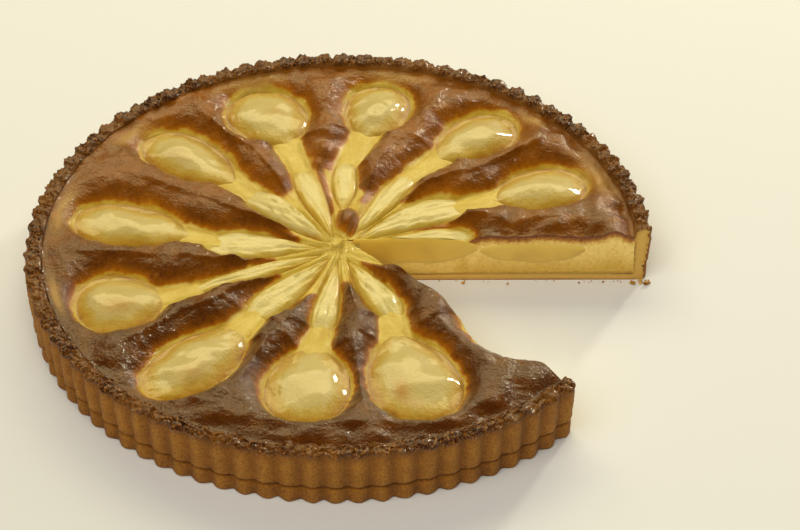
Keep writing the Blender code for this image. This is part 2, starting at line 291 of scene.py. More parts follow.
def relief(tree, height, strength, distance, under=None):
    """Fine relief from a height of 0 to 1, laid over the relief under it. Distance in m."""
    inputs = {"Height": height, "Strength": strength, "Distance": distance}
    if under is not None:
        inputs["Normal"] = under
    return add_node(tree, "ShaderNodeBump", inputs).outputs[0]


def new_material(name):
    """A node material with its shader, and Object coordinates to hang patterns on."""
    made = bpy.data.materials.new(name)
    made.use_nodes = True
    tree = made.node_tree
    shader = tree.nodes["Principled BSDF"]
    place = add_node(tree, "ShaderNodeTexCoord").outputs["Object"]
    return made, tree, shader, place


# Baked shortcrust: butter-brown, dry and sandy. Fine grain about 1 mm across is drawn a
# little coarser than real so that it shows. The flutes' crests are painted lighter, painted
# light, and their valleys and the crease darker, painted shade in the hollows. The lower
# tier is a little darker, the wall darker towards the top, and the rim is scorched nearly black.
pastry, tree, shader, place = new_material("baked_shortcrust")
grain = noise(tree, place, 1100, 3, 0.6)
blotch = noise(tree, place, 110, 5, 0.65)
# The crest mark carries painted light on the flutes' crests and painted shade in their valleys and the
# crease.
crest = marked(tree, "crest")
toast = maths(tree, "MULTIPLY_ADD", blotch, 0.5, crest)
wall_colour = colours(tree, toast, [
    (0.0, "#5a380e"), (0.25, "#885519"), (0.5, "#a66c20"), (0.75, "#bf842c"), (1.0, "#d69f3e")])
grain_colour = colours(tree, grain, [(0.3, "#9a8a78"), (0.5, "#e0dcd6"), (0.7, "#ffffff")])
grained = mixed(tree, 0.75, wall_colour, grain_colour, "MULTIPLY")
scorched = marked(tree, "scorch")
char_colour = colours(tree, grain, [
    (0.34, "#1a0902"), (0.47, "#42200a"), (0.57, "#6e3d0e"), (0.7, "#b97c30")])
charred = mixed(tree, scorched, grained, char_colour)
glazed = marked(tree, "glazed")
amber = mixed(tree, glazed, charred, paint("#8a5a26"))
tree.links.new(amber, shader.inputs["Base Color"])
dryness = add_node(tree, "ShaderNodeMapRange", {0: glazed, 3: 0.78, 4: 0.32}).outputs[0]
tree.links.new(dryness, shader.inputs["Roughness"])
sandy = relief(tree, grain, 0.8, 0.0006)
tree.links.new(sandy, shader.inputs["Normal"])

# The same pastry where the knife broke it: pale golden crumb, browner towards its skin.
pastry_cut, tree, shader, place = new_material("shortcrust_crumb")
crumbs = noise(tree, place, 900, 4, 0.65)
edge = marked(tree, "edge")
browned = maths(tree, "MULTIPLY_ADD", crumbs, 0.45, edge)
crumb_colour = colours(tree, browned, [
    (0.1, "#dcb763"), (0.5, "#cca04a"), (0.9, "#ab762b"), (1.0, "#704012")])
tree.links.new(crumb_colour, shader.inputs["Base Color"])
shader.inputs["Roughness"].default_value = 0.8
rubble = relief(tree, crumbs, 0.7, 0.0006)
tree.links.new(rubble, shader.inputs["Normal"])

# The scorched rim, which the brush caught with apricot glaze: the same dark pastry, wet.
rim_stuff = pastry.copy()
rim_stuff.name = "glazed_scorched_shortcrust"
shader = rim_stuff.node_tree.nodes["Principled BSDF"]
shader.inputs["Coat Weight"].default_value = 0.35
shader.inputs["Coat Roughness"].default_value = 0.18


def new_piece(name, points_mm, faces, materials, face_material=None, marks=None):
    """A mesh object at the origin from points in mm and quads, with doubles merged.

    marks holds one float for each point under each name, for the materials to read.
    """
    mesh = bpy.data.meshes.new(name)
    mesh.from_pydata((np.asarray(points_mm) * MM).tolist(), [], np.asarray(faces).tolist())
    for mark, values in (marks or {}).items():
        layer = mesh.attributes.new(mark, "FLOAT", "POINT")
        layer.data.foreach_set("value", np.asarray(values, np.float32).ravel())
    for material in materials:
        mesh.materials.append(material)
    if face_material is not None:
        mesh.polygons.foreach_set("material_index", np.asarray(face_material, np.int32))
    merged = bmesh.new()
    merged.from_mesh(mesh)
    bmesh.ops.remove_doubles(merged, verts=merged.verts, dist=1e-7)
    bmesh.ops.dissolve_degenerate(merged, edges=merged.edges, dist=1e-8)
    bmesh.ops.recalc_face_normals(merged, faces=merged.faces)
    if merged.calc_volume(signed=True) < 0:
        bmesh.ops.reverse_faces(merged, faces=merged.faces)
    merged.to_mesh(mesh)
    merged.free()
    mesh.shade_smooth()
    mesh.set_sharp_from_angle(angle=math.radians(60))
    piece = bpy.data.objects.new(name, mesh)
    bpy.context.scene.collection.objects.link(piece)
    return piece


corner_scorch = scorch.ravel()[crust_body].mean(1)
crust_cut[0] = np.where(corner_scorch > 0.35, 2, 0)
# Painted light and shade on the wall: lighter on the flutes' crests, darker in their valleys and much
# darker in the crease. The lower tier is a little darker and the wall darker towards the top.
flute_light_and_shade = (0.27 + 0.13 * scallop * outside - 0.4 * shaded_crease - 0.07 * (crust_z < 8)
              - 0.16 * step_between(22, 28, crust_z))
crust = new_piece(
    "crust_shell", np.concatenate(crust_mesh_points), np.concatenate(crust_faces),
    [pastry, pastry_cut, rim_stuff], np.concatenate(crust_cut),
    {"crest": with_caps(np.clip(flute_light_and_shade, 0, 1)),
     "scorch": with_caps(scorch), "glazed": with_caps(inside_wall),
     "edge": with_caps(np.zeros(crust_points.shape[:2]), np.tile(cap_edge.ravel() ** 4, 2))})
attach(crust, "root")
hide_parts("crust")

# The pears' places. Half pears were pressed into the filling with their round ends
# outwards, and narrow slices were fanned from the centre. Each runs from its inner tip
# to its outer end, given as a distance in mm and an angle in degrees; then come its
# widest half width, crown height, where it is widest, how blunt its tip is, and its bow.
Pear = namedtuple("Pear", "tip_mm tip_turn end_mm end_turn half_width crown widest taper bow",
                  defaults=[0])
HALVES = {
    "pear_half_1": Pear(77, 107.5, 126.0, 111.5, 19.3, 26.6, 0.56, 1.25),
    "pear_half_2": Pear(78, 83.0, 124.5, 80.5, 16.0, 26.4, 0.60, 1.25),
    "pear_half_3": Pear(74, 57.0, 124.5, 50.5, 15.6, 26.8, 0.62, 1.25),
    "pear_half_4": Pear(74, 27.0, 122.5, 24.0, 16.0, 26.6, 0.60, 1.25),
    "pear_half_5": Pear(57, -67.0, 118.5, -70.0, 20.4, 26.8, 0.63, 1.25),
    "pear_half_6": Pear(61, -99.0, 115.0, -97.2, 18.9, 26.5, 0.60, 1.25),
    "pear_half_7": Pear(63, -127.5, 125.5, -129.5, 16.8, 26.9, 0.58, 1.25),
    "pear_half_8": Pear(79, -156.0, 122.5, -161.0, 20.3, 27.0, 0.62, 1.25),
    "pear_half_9": Pear(62, 172.0, 123.0, 169.5, 15.8, 26.5, 0.66, 1.25),
    "pear_half_10": Pear(63, 135.5, 122.5, 137.8, 15.6, 26.8, 0.66, 1.25),
}
SLICES = {
    "pear_slice_1": Pear(9, 112.0, 66, 108.5, 6.0, 23.8, 0.66, 1.05),
    "pear_slice_2": Pear(28, 88.0, 68, 88.5, 5.8, 23.6, 0.55, 1.50),
    "pear_slice_3": Pear(9, 65.0, 66, 59.5, 5.8, 24.2, 0.62, 1.05),
    "pear_slice_4": Pear(9, 38.0, 65, 30.0, 9.0, 24.4, 0.74, 1.05, 2.8),
    "pear_slice_5": Pear(9, 12.0, 60, 10.0, 7.2, 24.0, 0.68, 1.05),
    "pear_slice_6": Pear(9, -66.0, 54, -61.0, 7.4, 24.6, 0.70, 1.05),
    "pear_slice_7": Pear(9, -98.0, 60, -97.5, 5.8, 24.5, 0.70, 1.05),
    "pear_slice_8": Pear(9, -128.0, 61, -129.5, 8.4, 24.4, 0.70, 1.05),
    "pear_slice_9": Pear(9, -156.5, 76, -156.5, 4.6, 24.0, 0.42, 1.05),
    "pear_slice_10": Pear(9, 175.0, 60, 175.8, 9.2, 24.0, 0.75, 1.05),
    "pear_slice_11": Pear(7, 138.0, 60, 136.0, 7.4, 25.4, 0.70, 1.05),
}
# The hollow that a half pear left in the lower cut has that half's outline.
GONE_HALF = Pear(62, -36.0, 118, -32.5, 20.0, 26.6, 0.60, 1.25)


def at_angle(distance, degrees):
    """The point at a distance from the tart's centre and an angle from +X."""
    return distance * np.array([np.cos(np.radians(degrees)), np.sin(np.radians(degrees))])


def pear_axis(pear):
    """A pear's inner tip, its unit direction outwards and its length."""
    tip, end = at_angle(pear.tip_mm, pear.tip_turn), at_angle(pear.end_mm, pear.end_turn)
    length = np.hypot(*(end - tip))
    return tip, (end - tip) / length, length


def pear_half_width(pear, share):
    """Half width at a share of the length: a cosine of t ** taper towards the tip, where
    t runs from the widest place to the tip, and a quarter ellipse towards the end."""
    tipwards = np.clip((pear.widest - share) / pear.widest, 0, 1)
    endwards = np.clip((share - pear.widest) / (1 - pear.widest), 0, 1)
    return pear.half_width * np.where(share > pear.widest, np.sqrt(1 - endwards ** 2),
                                      np.cos(np.pi / 2 * tipwards ** pear.taper))


def bowed(pear, share):
    """How far the middle line of a bowed pear lies to its left: 4 bow t (1 - t)."""
    return 4 * pear.bow * share * (1 - share)


def pear_seed(pear, seeds):
    """The seed of a pear's own unevenness, from the angle of its tip."""
    return int(1000 + pear.tip_turn * 10) % seeds


def pear_outline(pear, points):
    """Points round the outline, anticlockwise from the tip: share = (1 - cos t) / 2."""
    tip, along, length = pear_axis(pear)
    turn = np.linspace(0, 2 * np.pi, points, endpoint=False)
    share = (1 - np.cos(turn)) / 2
    side = -np.sign(np.sin(turn)) * pear_half_width(pear, share) + bowed(pear, share)
    return tip + np.outer(share * length, along) + np.outer(side, [-along[1], along[0]])


def outside_pear(pear, x, y, near=30.0):
    """Distance from points to a pear's outline, negative inside; far ones read near."""
    tip, along, length = pear_axis(pear)
    from_tip_x, from_tip_y = x - tip[0], y - tip[1]
    forward = from_tip_x * along[0] + from_tip_y * along[1]
    side = from_tip_y * along[0] - from_tip_x * along[1]
    share = forward / length
    within = (share > 0) & (share < 1)
    aside = np.abs(side - np.where(within, bowed(pear, share), 0))
    inside = within & (aside < pear_half_width(pear, np.clip(share, 0, 1)))
    close = (np.hypot(forward - length / 2, side) < length / 2 + near)
    result = np.full(x.shape, float(near))
    outline = pear_outline(pear, 150)
    close_x, close_y = x[close][:, None], y[close][:, None]
    best = np.full(close_x.shape[0], 1e9)
    for part in np.array_split(outline, 10):
        best = np.minimum(best, ((close_x - part[:, 0]) ** 2 + (close_y - part[:, 1]) ** 2).min(1))
    result[close] = np.minimum(np.sqrt(best), near)
    return np.where(inside, -result, result)


# The filling: almond cream that rose round the fruit as it baked. Its skin swelled into
# ridges between the pears and browned there, and stayed pale and low in the middle. It
# was brushed with clear apricot glaze. The cuts show its pale, fine-pored crumb.
FILLING_RADIUS = 131.45
FILLING_FLOOR = 3.55
LOW_SKIN = 21.8
CREST = 28.3
# Height of the skin's edge at the shell, by angle: it stands higher on the left.
SKIN_EDGE = ((0, 24.4), (60, 24.8), (90, 25.2), (125, 26.2), (200, 26.4), (235, 25.2),
             (290, 24.8))
PEAR_FLOOR = 9.0
# The half width of a neck at its half and at its slice.
NECK_HALF_WIDTHS = (7.2, 4.6)
# The one knob of filling that browned near the middle: its x and y, and its two radii.
KNOB = (3.4, 18.0, 4.7, 7.4)
# Thin browned tails of ridges that run on between the slices: the two ends, each as a
# distance and an angle, then the half width and the strength.
TAILS = (((27, 100), (62, 100), 1.7, 0.62), ((30, 27.5), (54, 18), 1.0, 0.5),
         ((21, 163), (38, 156), 1.8, 0.8), ((31, 195), (40, 193), 1.5, 0.6))
# Two hollows cross the widest ridge, at these distances and this angle.
RIDGE_HOLLOWS = (75, 101)
WIDE_RIDGE_TURN = 97
RIDGE_ROUNDING = 4.4
RIDGE_LEAN = 1.9
# Folds and strands are drawn as if they lay on a ring of this radius.
FOLD_RING = 22
# Each ridge between two pears: its angle, and how near the middle its inner end comes.
RIDGES = ((15, 50), (43, 45), (74, 39), (99, 60), (122, 45), (154, 26), (189, 36),
          (213, 36), (245, 37), (272, 23), (316, 10), (340, 46))
# The slice that a neck of soft fruit joins to each half. Slice 5 has its half cut away.
NECKS = tuple(zip(HALVES, [name for name in SLICES if name != "pear_slice_5"]))
# Where clear glaze lies deep over pale skin between a pear and the rim: the angle, the
# distance, and how far it reaches along and across the rim.
GLAZE_POOLS = ((110, 127.5, 15, 3.4), (79, 127.5, 13, 3.2), (46, 126, 8, 3), (22, 126, 14, 4.5),
               (141, 125, 12, 3.6), (170, 127, 16, 3.2), (196, 128, 12, 1.8))


def near_line(x, y, start, end):
    """Distance from points to the straight line between two places, and the share of the
    way along it where they are nearest."""
    run = np.asarray(end, float) - start
    share = np.clip(((x - start[0]) * run[0] + (y - start[1]) * run[1]) / (run @ run), 0, 1)
    return np.hypot(x - start[0] - share * run[0], y - start[1] - share * run[1]), share


def neck_line(half, piece):
    """The two ends of a neck: 9 mm inside its half's tip and 8 mm inside its slice's end."""
    tip, out, _ = pear_axis(HALVES[half])
    end = at_angle(*SLICES[piece][2:4])
    inwards = at_angle(*SLICES[piece][:2]) - end
    return tip + 9 * out, end + 8 * (inwards / np.hypot(*inwards))


def from_fruit(x, y):
    """Distance to the nearest half or slice, the same with the necks counted as fruit, and
    the distance to the nearest neck's middle over the neck's half width there."""
    whole, fruit, neck = (np.full(x.shape, 30.0) for _ in range(3))
    for pear in (*HALVES.values(), *SLICES.values()):
        whole = np.minimum(whole, outside_pear(pear, x, y))
    for half, piece in NECKS:
        away, share = near_line(x, y, *neck_line(half, piece))
        half_width = NECK_HALF_WIDTHS[0] + (NECK_HALF_WIDTHS[1] - NECK_HALF_WIDTHS[0]) * share
        neck = np.minimum(neck, away / half_width)
        fruit = np.minimum(fruit, away - half_width)
    return whole, np.minimum(whole, fruit), neck


def filling_skin(x, y):
    """Height of the filling's skin and how far it browned, 0 to 1.

    With d the distance from the nearest fruit, the skin rises by 1 - exp(-(d/w)^1.25)
    of the way to the crest, times a step outwards from each ridge's inner end. The width
    w is 4.4 mm beside the fruit, 2.5 mm in front of it and 6.3 mm behind it, because the
    ridges lean back. Near the shell the skin meets a level edge. Inside a hollow that
    lost its pear it falls away.
    """
    whole, fruit, neck = from_fruit(x, y)
    in_front = np.clip((fruit - from_fruit(x, y + 1.5)[1]) / 1.5, -1, 1)
    gone = outside_pear(GONE_HALF, x, y)
    ragged = 0.8 * uneven(x, y, 11, 31) + 0.25 * uneven(x, y, 4.5, 32)
    free = np.maximum(np.minimum(fruit, gone) + 0.5 * ragged * step_between(0, 3, fruit), 0)
    radius, turn = np.hypot(x, y), np.degrees(np.arctan2(y, x)) % 360
    ridge_turns, ridge_starts = np.array(RIDGES, float).T
    reach = np.interp(turn, ridge_turns, ridge_starts, period=360) + 2.5 * uneven(x, y, 16, 33)
    swell = step_between(reach - 7, reach + 14, radius)
    rise = 1 - np.exp(-(free / (RIDGE_ROUNDING - RIDGE_LEAN * in_front)) ** 1.25)
    # Strands of soft fruit fill the gaps between the slices: round-backed, with a crease
    # on each side, and drawn towards the middle.
    strand = 1 - np.exp(-(np.maximum(fruit, 0) / 1.1) ** 1.5)
    middle = 1 - step_between(26, 44, radius)
    crest = (CREST + 0.55 * uneven(x, y, 30, 34) + 0.32 * uneven(x, y, 12, 35)
             + 0.08 * uneven(x, y, 4, 36))
    height = LOW_SKIN + rise * (0.8 + (crest - LOW_SKIN) * swell)
    folds = uneven(np.cos(np.radians(turn)) * FOLD_RING + 0.05 * x,
                   np.sin(np.radians(turn)) * FOLD_RING + 0.05 * y, 2.6, 43)
    height += middle * (1.4 * strand + 0.34 * folds)
    height += 1.1 * (1 - step_between(3, 11, radius)) * (1 - strand)
    height += 1.0 * np.exp(-(neck / 0.9) ** 4)
    for distance in RIDGE_HOLLOWS:
        place = at_angle(distance, WIDE_RIDGE_TURN)
        from_place = np.hypot(x - place[0], y - place[1])
        height -= 1.5 * rise * np.exp(-((radius - distance) / 3.2) ** 2 - (from_place / 11) ** 4)
    knob = np.exp(-(np.hypot((x - KNOB[0]) / KNOB[2], (y - KNOB[1]) / KNOB[3])) ** 3)
    height += 4.8 * knob
    # Along the upper cut the skin sank towards the cut fruit.
    beside_cut = ((x - CUT_POINT[0]) * -np.sin(CUT_TURNS[0])
                  + (y - CUT_POINT[1]) * np.cos(CUT_TURNS[0]))
    drop = (1 - step_between(-1, 9.5 + 1.2 * uneven(x, y, 12, 45), np.abs(beside_cut))) * (x > 0)
    height -= 3.6 * drop * rise * swell * (1 - step_between(112, 126, radius))
    tail = np.zeros(x.shape)
    for start, end, half_wide, strength in TAILS:
        away, _ = near_line(x, y, at_angle(*start), at_angle(*end))
        tail = np.maximum(tail, strength * np.exp(-(away / half_wide) ** 2))
    height += 1.2 * tail
    edge = step_between(SHELL_INSIDE - 14, SHELL_INSIDE + 1, radius + 1.5 * uneven(x, y, 14, 38))
    edge_height = np.interp(turn, *np.array(SKIN_EDGE, float).T, period=360)
    height += (edge_height + 0.3 * uneven(x, y, 20, 37) - height) * 0.95 * edge
    height += 0.9 * np.exp((radius - FILLING_RADIUS) / 0.9)
    sink = step_between(1.2, 4.0, -whole) * 5.0 * (1 - np.exp(-(neck / 0.9) ** 6))
    height -= sink
    height -= (LOW_SKIN - PEAR_FLOOR - 1.0) * step_between(0.0, 4.2, -gone)
    slit, _ = near_line(x, y, CUT_POINT, (-8.0, 15.0))
    height -= 0.8 * np.exp(-(slit / 0.6) ** 2)
    border = np.maximum(np.minimum(fruit, gone) + 0.55 * ragged, 0)
    wide = (1.5 + 1.4 * step_between(0.2, 1.2, uneven(x, y, 45, 39)) + 0.3 * uneven(x, y, 3, 30)
            - 0.9 * in_front)
    wide = np.maximum(wide, 0.35)
    brown = (1 - np.exp(-(border / wide) ** 1.7)) * step_between(reach - 4, reach + 3, radius)
    # The browning is stronger towards the front (-Y) and weaker towards the back.
    brown *= 0.80 - 0.20 * np.tanh(y / 60)
    brown = np.maximum(brown, 0.66 * np.minimum(1, 1.4 * knob))
    brown = np.maximum(brown, 0.9 * tail)
    brown = np.where(gone < -0.8, 0, np.clip(brown, 0, 1))
    pool = np.zeros(x.shape)
    for degrees, distance, wide, deep in GLAZE_POOLS:
        off = (turn - degrees + 180) % 360 - 180
        pool = np.maximum(pool, np.exp(-np.abs(off * np.pi / 180 * distance / wide) ** 2.4
                                       - np.abs((radius - distance) / deep) ** 2.4))
    # Painted shade: the soft fruit is coloured darker in the creases along each fruit's outline.
    crease_width = np.where(radius > 62, 1.5, 0.6)
    shaded_crease = np.exp(-(whole / crease_width) ** 2) * (1 - np.exp(-neck ** 4))
    return height, brown, pool, shaded_crease


FILLING_COLUMNS = 505
FILLING_RINGS = 168
FILLING_LAYERS = 15
share = np.linspace(0, 1, FILLING_RINGS)
filling_radii = FILLING_RADIUS * (0.55 * share + 0.45 * (1 - (1 - share) ** 1.7))
skin_x, skin_y = cut_tart_plan(filling_radii, FILLING_COLUMNS)
skin_z, brown, pool, shaded_crease = filling_skin(skin_x, skin_y)
side_z = np.array([17.0, 10.0, FILLING_FLOOR])[:, None] * np.ones(FILLING_COLUMNS)
SIDE_ROWS = len(side_z)
edge_x = np.repeat(skin_x[-1:], SIDE_ROWS, axis=0)
edge_y = np.repeat(skin_y[-1:], SIDE_ROWS, axis=0)
skin_points = np.stack([np.vstack([skin_x, edge_x]), np.vstack([skin_y, edge_y]),
                        np.vstack([skin_z, side_z])], axis=-1)
filling_rows = FILLING_RINGS + SIDE_ROWS


def almond_crumb(along, height):
    """Crumb relief of the cut filling: unevenness of two sizes, 0.22 and 0.16 mm deep."""
    return 0.22 * uneven(along, height, 4.0, 41) + 0.16 * uneven(along, height, 1.4, 42)


def filling_cap(column, first):
    """The cut face from the skin down to the floor, its inner points moved inwards."""
    top = skin_points[:FILLING_RINGS, column]
    low = top.copy()
    low[:, 2] = FILLING_FLOOR
    fall = np.linspace(0, 1, FILLING_LAYERS)[:, None, None] ** 1.15
    spread = top + (low - top) * fall
    turn = CUT_TURNS[0 if column == 0 else 1]
    inwards = np.array([-np.sin(turn), np.cos(turn), 0]) * (1 if column == 0 else -1)
    along = spread[..., 0] * np.cos(turn) + spread[..., 1] * np.sin(turn)
    depth = np.abs(almond_crumb(along, spread[..., 2]))
    depth[0] = depth[-1] = depth[:, 0] = depth[:, -1] = 0
    spread = spread + depth[..., None] * inwards
    below = np.broadcast_to((top[:, 2] - spread[..., 2]), spread.shape[:2])
    return spread, grid_faces(first, FILLING_LAYERS, FILLING_RINGS), below


filling_points = [skin_points.reshape(-1, 3)]
skin_quads = grid_faces(0, filling_rows, FILLING_COLUMNS)
filling_faces = [skin_quads]
filling_material = [np.zeros(len(skin_quads))]
caps = []
first = filling_rows * FILLING_COLUMNS
for column in (0, -1):
    cap, quads, below = filling_cap(column, first)
    caps.append(below)
    filling_points.append(cap.reshape(-1, 3))
    filling_faces.append(quads)
    filling_material.append(np.ones(len(quads)))
    first += FILLING_LAYERS * FILLING_RINGS
under_skin = np.concatenate([below.ravel() for below in caps])
unbrowned = np.concatenate([5.0 * (1 - brown[:, column]) ** 2 * np.ones((FILLING_LAYERS, 1))
                            for column in (0, -1)]).ravel()


def with_side(values):
    """A value for each point of the skin, and 0 for those of the side below it."""
    return np.concatenate([values, np.zeros((SIDE_ROWS, FILLING_COLUMNS))]).ravel()


def with_caps_edge(skin_values):
    """One value for each point: the skin's, the sides', and the caps', whose top rows
    repeat the skin's along the cut."""
    caps_values = np.zeros((2, FILLING_LAYERS, FILLING_RINGS))
    caps_values[0, 0], caps_values[1, 0] = skin_values[:, 0], skin_values[:, -1]
    return np.concatenate([with_side(skin_values), caps_values.ravel()])


def threads_along(tree, along, across, stretch):
    """Noise in long threads, as stretch says how many patches a mm along and across holds."""
    place = add_node(tree, "ShaderNodeCombineXYZ", {0: along, 1: across}).outputs[0]
    turned = add_node(tree, "ShaderNodeMapping", {"Vector": place, "Scale": (*stretch, 1)})
    return noise(tree, turned.outputs[0], 1.0, 4, 0.6)


# Browned almond skin under apricot glaze: chocolate brown on the ridges, orange at
# their feet, straw yellow beside the fruit. Pits and blisters about 1 and 4 mm across
# break up the broad sheen. The glaze is a clear coat.
skin, tree, shader, place = new_material("glazed_browned_almond_skin")
fine = noise(tree, place, 800, 3, 0.6)
patch = noise(tree, place, 95, 5, 0.6)
baked = marked(tree, "brown")
grained = maths(tree, "MULTIPLY_ADD", fine, 0.8, patch)
mottled = maths(tree, "MULTIPLY_ADD", grained, 0.8, -0.72)
share_brown = maths(tree, "MULTIPLY", baked, 4.0, clamp=True)
mottling = maths(tree, "MULTIPLY", mottled, share_brown)
bake = maths(tree, "ADD", baked, mottling)
skin_colour = colours(tree, bake, [
    (0.0, "#c9a83e"), (0.07, "#bf8d20"), (0.18, "#b0700e"), (0.4, "#995a0c"), (0.7, "#7b460b"),
    (1.0, "#522808")])
speck_colour = colours(tree, fine, [(0.3, "#a8998c"), (0.46, "#ffffff"), (1.0, "#ffffff")])
speckled = mixed(tree, 0.6, skin_colour, speck_colour, "MULTIPLY")
out = marked(tree, "outwards")
round_way = marked(tree, "round_way")
strands = threads_along(tree, out, round_way, (0.05, 0.5))
# The crease mark paints shade: the soft fruit darkens in the creases beside the fruit.
crease_shade = marked(tree, "shaded_crease")
soft_tone = maths(tree, "MULTIPLY_ADD", crease_shade, -0.34, strands)
cloud_tone = maths(tree, "MULTIPLY_ADD", patch, 0.5, soft_tone)
soft_fruit = colours(tree, cloud_tone, [
    (0.25, "#99701c"), (0.4, "#b09032"), (0.62, "#c4ac4c"), (0.95, "#d8c87e")])
speckled = mixed(tree, share_brown, soft_fruit, speckled)
pooled = marked(tree, "pool")
pool_share = maths(tree, "MULTIPLY", pooled, 0.8)
tan_pool = mixed(tree, pool_share, speckled, paint("#b08a55"))
tree.links.new(tan_pool, shader.inputs["Base Color"])
shader.inputs["Roughness"].default_value = 0.55
shader.inputs["Specular IOR Level"].default_value = 0.25
shader.inputs["Coat Weight"].default_value = 1.0
shader.inputs["Coat Roughness"].default_value = 0.07
shader.inputs["Coat IOR"].default_value = 1.42
shader.inputs["Coat Tint"].default_value = paint("#fff7d2")
blister = noise(tree, place, 260, 3, 0.55)
pitted = maths(tree, "MULTIPLY_ADD", share_brown, 0.6, 0.2)
pits = relief(tree, fine, pitted, 0.0005)
blisters = relief(tree, blister, 0.4, 0.001, pits)
tree.links.new(blisters, shader.inputs["Normal"])
film_pits = relief(tree, fine, 0.8, 0.0006)
film = relief(tree, blister, 0.6, 0.0012, film_pits)
tree.links.new(film, shader.inputs["Coat Normal"])

# Almond crumb on the cut: pale yellow, moist and fine-pored, browned just under the
# skin and a little darker towards the bottom.
crumb, tree, shader, place = new_material("almond_crumb")
pores = noise(tree, place, 620, 4, 0.7)
depth = marked(tree, "under_skin")
wander = maths(tree, "MULTIPLY_ADD", pores, 0.18, -0.09)
deep = maths(tree, "ADD", depth, wander)
crumb_depth = colours(tree, deep, [
    (0.0, "#5c2d0c"), (0.08, "#8f5216"), (0.15, "#bb8030"), (0.21, "#e8c468"), (0.3, "#fbe08c"),
    (0.6, "#f6da80"), (1.0, "#dcb650")])
pore_colour = colours(tree, pores, [
    (0.34, "#cfa65c"), (0.44, "#f2e2b8"), (0.6, "#ffffff")])
pored = mixed(tree, 0.5, crumb_depth, pore_colour, "MULTIPLY")
tree.links.new(pored, shader.inputs["Base Color"])
shader.inputs["Roughness"].default_value = 0.55
shader.inputs["Subsurface Weight"].default_value = 0.12
shader.inputs["Subsurface Scale"].default_value = 0.003
holes = relief(tree, pores, 0.6, 0.0006)
tree.links.new(holes, shader.inputs["Normal"])

filling_all = np.concatenate(filling_points)
filling = new_piece(
    "almond_filling", filling_all, np.concatenate(filling_faces), [skin, crumb],
    np.concatenate(filling_material),
    {"brown": with_caps_edge(brown),
     "pool": with_caps_edge(pool),
     "shaded_crease": with_caps_edge(shaded_crease),
     "outwards": np.hypot(filling_all[:, 0], filling_all[:, 1]),
     "round_way": FOLD_RING * np.arctan2(filling_all[:, 1], filling_all[:, 0]),
     "under_skin": np.concatenate([np.zeros(filling_rows * FILLING_COLUMNS),
                                   (under_skin + unbrowned) / 20])})
# Its flat underside is one face.
closing = bmesh.new()
closing.from_mesh(filling.data)
bottom = [edge for edge in closing.edges if edge.is_boundary]
bmesh.ops.contextual_create(closing, geom=bottom)
closing.to_mesh(filling.data)
closing.free()
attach(filling, "root")
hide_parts("frangipane")

# The pear halves: peeled, cored and poached until glassy, then baked in flat side down
# and glazed. Each shows as a round-topped dome inside a sunken ring of softer flesh.
PEAR_EDGE = 21.5
PEAR_SHELF = 22.3
HALF_ROWS = 72
HALF_POINTS = 96
UNDER_TONE = 5.0
DOME_IN_FROM_EDGE = 2.2
DOME_ROUNDING = 1.35
DOME_FORWARD = 1.6


def half_dome(pear, forward, side, inside, length):
    """0 to 1: (1 - q) ** 1.35, where q is the squared distance from the dome's middle in an
    oval that ends 2.2 mm short of the outline, and 0 at the edge itself. The middle lies
    1.6 mm nearer -Y than the widest place, because the fruit slid forward as it baked."""
    along = pear_axis(pear)[1]
    ahead = forward - length * pear.widest + DOME_FORWARD * along[1]
    side = side + DOME_FORWARD * along[0]
    reach = np.where(ahead > 0, length * (1 - pear.widest), length * pear.widest) - DOME_IN_FROM_EDGE
    off = (ahead / reach) ** 2 + (side / (pear.half_width - DOME_IN_FROM_EDGE)) ** 2
    off += 0.10 * uneven(forward, side, 22, pear_seed(pear, 977))
    return np.clip(1 - off, 0, 1) ** DOME_ROUNDING * step_between(0, 3, inside)


def lay_pear(pear, rows, points_round, shelf, swelling):
    """Points, quads and marks of one closed pear piece in mm.

    Rows of rings run from the tip to the end. At the angle a round a ring, the point
    lies cos a of the half width aside. Where sin a is positive it is on top: at the edge
    height, plus 1 - exp(-d/1.6) up to the shelf with d the distance in from the outline,
    plus the crown times the swelling. Where sin a is negative it is underneath: lower by
    |sin a| ** 0.5 of the way to the floor, less where the piece is under 4 mm wide.
    """
    tip, along, length = pear_axis(pear)
    left = np.array([-along[1], along[0]])
    share = (1 - np.cos(np.linspace(0, np.pi, rows)))[:, None] / 2
    turn = np.linspace(0, 2 * np.pi, points_round, endpoint=False)
    width = pear_half_width(pear, share)
    aside = np.cos(turn) * width
    forward = share * length + 0 * aside
    bend = aside + bowed(pear, share)
    x = tip[0] + along[0] * forward + left[0] * bend
    y = tip[1] + along[1] * forward + left[1] * bend
    inside = np.maximum(-outside_pear(pear, x, y), 0) * np.minimum(1, 1.1 - np.abs(np.cos(turn)) ** 40)
    inside = np.where(width < 0.05, 0, inside)
    swell = swelling(pear, forward, aside, inside, length)
    top = PEAR_EDGE + (shelf - PEAR_EDGE) * (1 - np.exp(-inside / 1.6)) + (pear.crown - shelf) * swell
    seed = pear_seed(pear, 977)
    dents = 0.13 * uneven(x, y, 9, seed) + 0.05 * uneven(x, y, 3.5, seed + 1)
    top += step_between(0.4, 3, inside) * dents
    depth = (PEAR_EDGE - PEAR_FLOOR) * np.abs(np.sin(turn)) ** 0.5 * np.minimum(1, width / 4) ** 0.5
    under = np.sin(turn) < -1e-9
    z = np.where(under, PEAR_EDGE - depth, top)
    # The depth in from the outline also paints shade at the sunken edge, and the dome share paints a
    # highlight where the piece swells.
    marks = {"depth": np.where(under, UNDER_TONE, inside), "dome": np.where(under, 0.5, swell),
             "along_pear": forward, "across_pear": aside}
    return np.stack([x, y, z], axis=-1), grid_faces(0, rows, points_round, closed=True), marks
